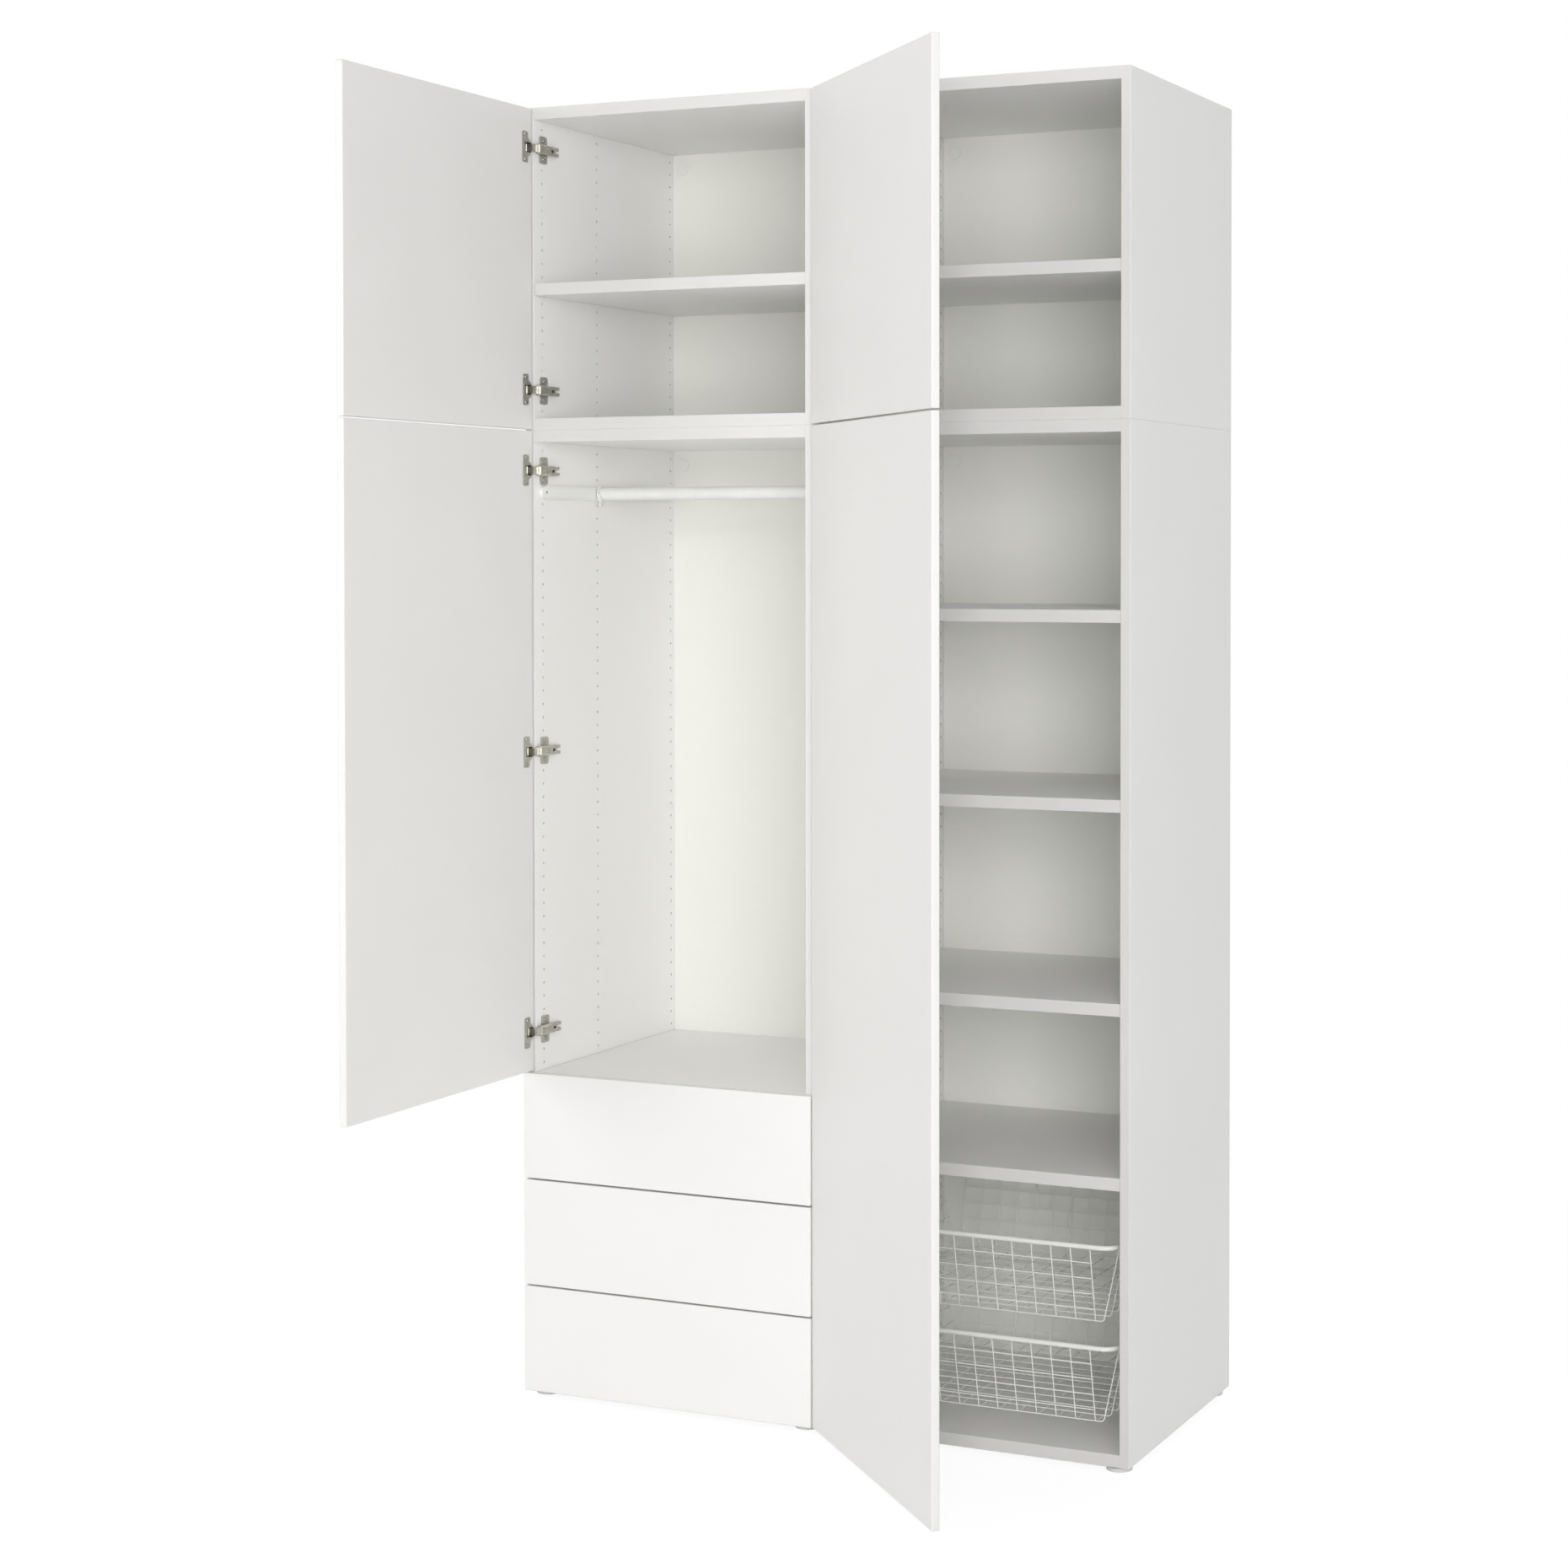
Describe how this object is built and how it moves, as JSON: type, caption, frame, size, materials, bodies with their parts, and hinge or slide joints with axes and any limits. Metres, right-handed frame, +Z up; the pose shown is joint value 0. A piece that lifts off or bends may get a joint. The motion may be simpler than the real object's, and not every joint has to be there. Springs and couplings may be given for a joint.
{
  "type": "wardrobe",
  "caption": "Tall hinged-door wardrobe of stacked board frames with shelves, a clothes rail, drawers and sliding wire baskets.",
  "frame": {"origin": "on the floor, at mid width, in the plane of the closed fronts' outer faces", "axes": "+Z up, -Y out of the front, +X to the right seen from the front"},
  "size_m": [1.2, 1.15, 2.41],
  "materials": {
    "white_board": "white foil, satin",
    "white_front": "white foil, matt",
    "back_board": "white paint, matt",
    "beech": "raw beech",
    "nickel_steel": "nickel plate",
    "white_metal": "white powder coat",
    "white_plastic": "moulded, matt"
  },
  "bodies": {
    "carcass": {"lower_left_frame_left_side": "white_board", "lower_left_frame_right_side": "white_board", "lower_left_frame_bottom": "white_board", "lower_left_frame_top": "white_board", "lower_left_frame_back": "back_board", "lower_right_frame_left_side": "white_board", "lower_right_frame_right_side": "white_board", "lower_right_frame_bottom": "white_board", "lower_right_frame_top": "white_board", "lower_right_frame_back": "back_board", "upper_left_frame_left_side": "white_board", "upper_left_frame_right_side": "white_board", "upper_left_frame_bottom": "white_board", "upper_left_frame_top": "white_board", "upper_left_frame_back": "back_board", "upper_right_frame_left_side": "white_board", "upper_right_frame_right_side": "white_board", "upper_right_frame_bottom": "white_board", "upper_right_frame_top": "white_board", "upper_right_frame_back": "back_board", "upper_left_shelf": "white_board", "upper_right_shelf": "white_board", "drawer_deck": "white_board", "lower_right_shelf_one": "white_board", "lower_right_shelf_two": "white_board", "lower_right_shelf_three": "white_board", "lower_right_shelf_four": "white_board", "hinge_arms": "nickel_steel", "hinge_pins": "nickel_steel", "hinge_plates": "nickel_steel", "hinge_plate_screws": "nickel_steel", "shelf_pins": "nickel_steel", "corner_dowels": "beech", "frame_bolts": "white_metal", "feet": "white_plastic", "wall_fixing_caps": "white_plastic", "drawer_runners": "white_metal", "basket_tracks": "white_metal", "clothes_rail": "white_metal", "rail_strips": "white_plastic", "rail_hooks": "white_metal"},
    "lower_left_door_body": {"lower_left_door": "white_front", "lower_left_hinge_cups": "nickel_steel"},
    "lower_right_door_body": {"lower_right_door": "white_front", "lower_right_hinge_cups": "nickel_steel"},
    "upper_left_door_body": {"upper_left_door": "white_front", "upper_left_hinge_cups": "nickel_steel"},
    "upper_right_door_body": {"upper_right_door": "white_front", "upper_right_hinge_cups": "nickel_steel"},
    "bottom_drawer": {"bottom_drawer_front": "white_front", "bottom_drawer_box": "white_board", "bottom_drawer_slides": "white_metal"},
    "middle_drawer": {"middle_drawer_front": "white_front", "middle_drawer_box": "white_board", "middle_drawer_slides": "white_metal"},
    "top_drawer": {"top_drawer_front": "white_front", "top_drawer_box": "white_board", "top_drawer_slides": "white_metal"},
    "lower_basket_body": {"lower_basket": "white_metal"},
    "upper_basket_body": {"upper_basket": "white_metal"}
  },
  "joints": [
    {"name": "lower_left_door_hinge", "type": "hinge", "parent": "carcass", "child": "lower_left_door_body", "pos_m": [-0.592, 0.0065, 1.21], "axis": [0, 0, -1], "range_deg": [-90, 5]},
    {"name": "lower_right_door_hinge", "type": "hinge", "parent": "carcass", "child": "lower_right_door_body", "pos_m": [0.008, 0.0065, 1.21], "axis": [0, 0, -1], "range_deg": [-45, 45]},
    {"name": "upper_left_door_hinge", "type": "hinge", "parent": "carcass", "child": "upper_left_door_body", "pos_m": [-0.592, 0.0065, 2.11], "axis": [0, 0, -1], "range_deg": [-90, 5]},
    {"name": "upper_right_door_hinge", "type": "hinge", "parent": "carcass", "child": "upper_right_door_body", "pos_m": [0.008, 0.0065, 2.11], "axis": [0, 0, -1], "range_deg": [-45, 45]},
    {"name": "bottom_drawer_slide", "type": "slide", "parent": "carcass", "child": "bottom_drawer", "axis": [0, -1, 0], "range_m": [0, 0.4]},
    {"name": "middle_drawer_slide", "type": "slide", "parent": "carcass", "child": "middle_drawer", "axis": [0, -1, 0], "range_m": [0, 0.4]},
    {"name": "top_drawer_slide", "type": "slide", "parent": "carcass", "child": "top_drawer", "axis": [0, -1, 0], "range_m": [0, 0.4]},
    {"name": "lower_basket_slide", "type": "slide", "parent": "carcass", "child": "lower_basket_body", "axis": [0, -1, 0], "range_m": [0, 0.04]},
    {"name": "upper_basket_slide", "type": "slide", "parent": "carcass", "child": "upper_basket_body", "axis": [0, -1, 0], "range_m": [0, 0.04]}
  ]
}
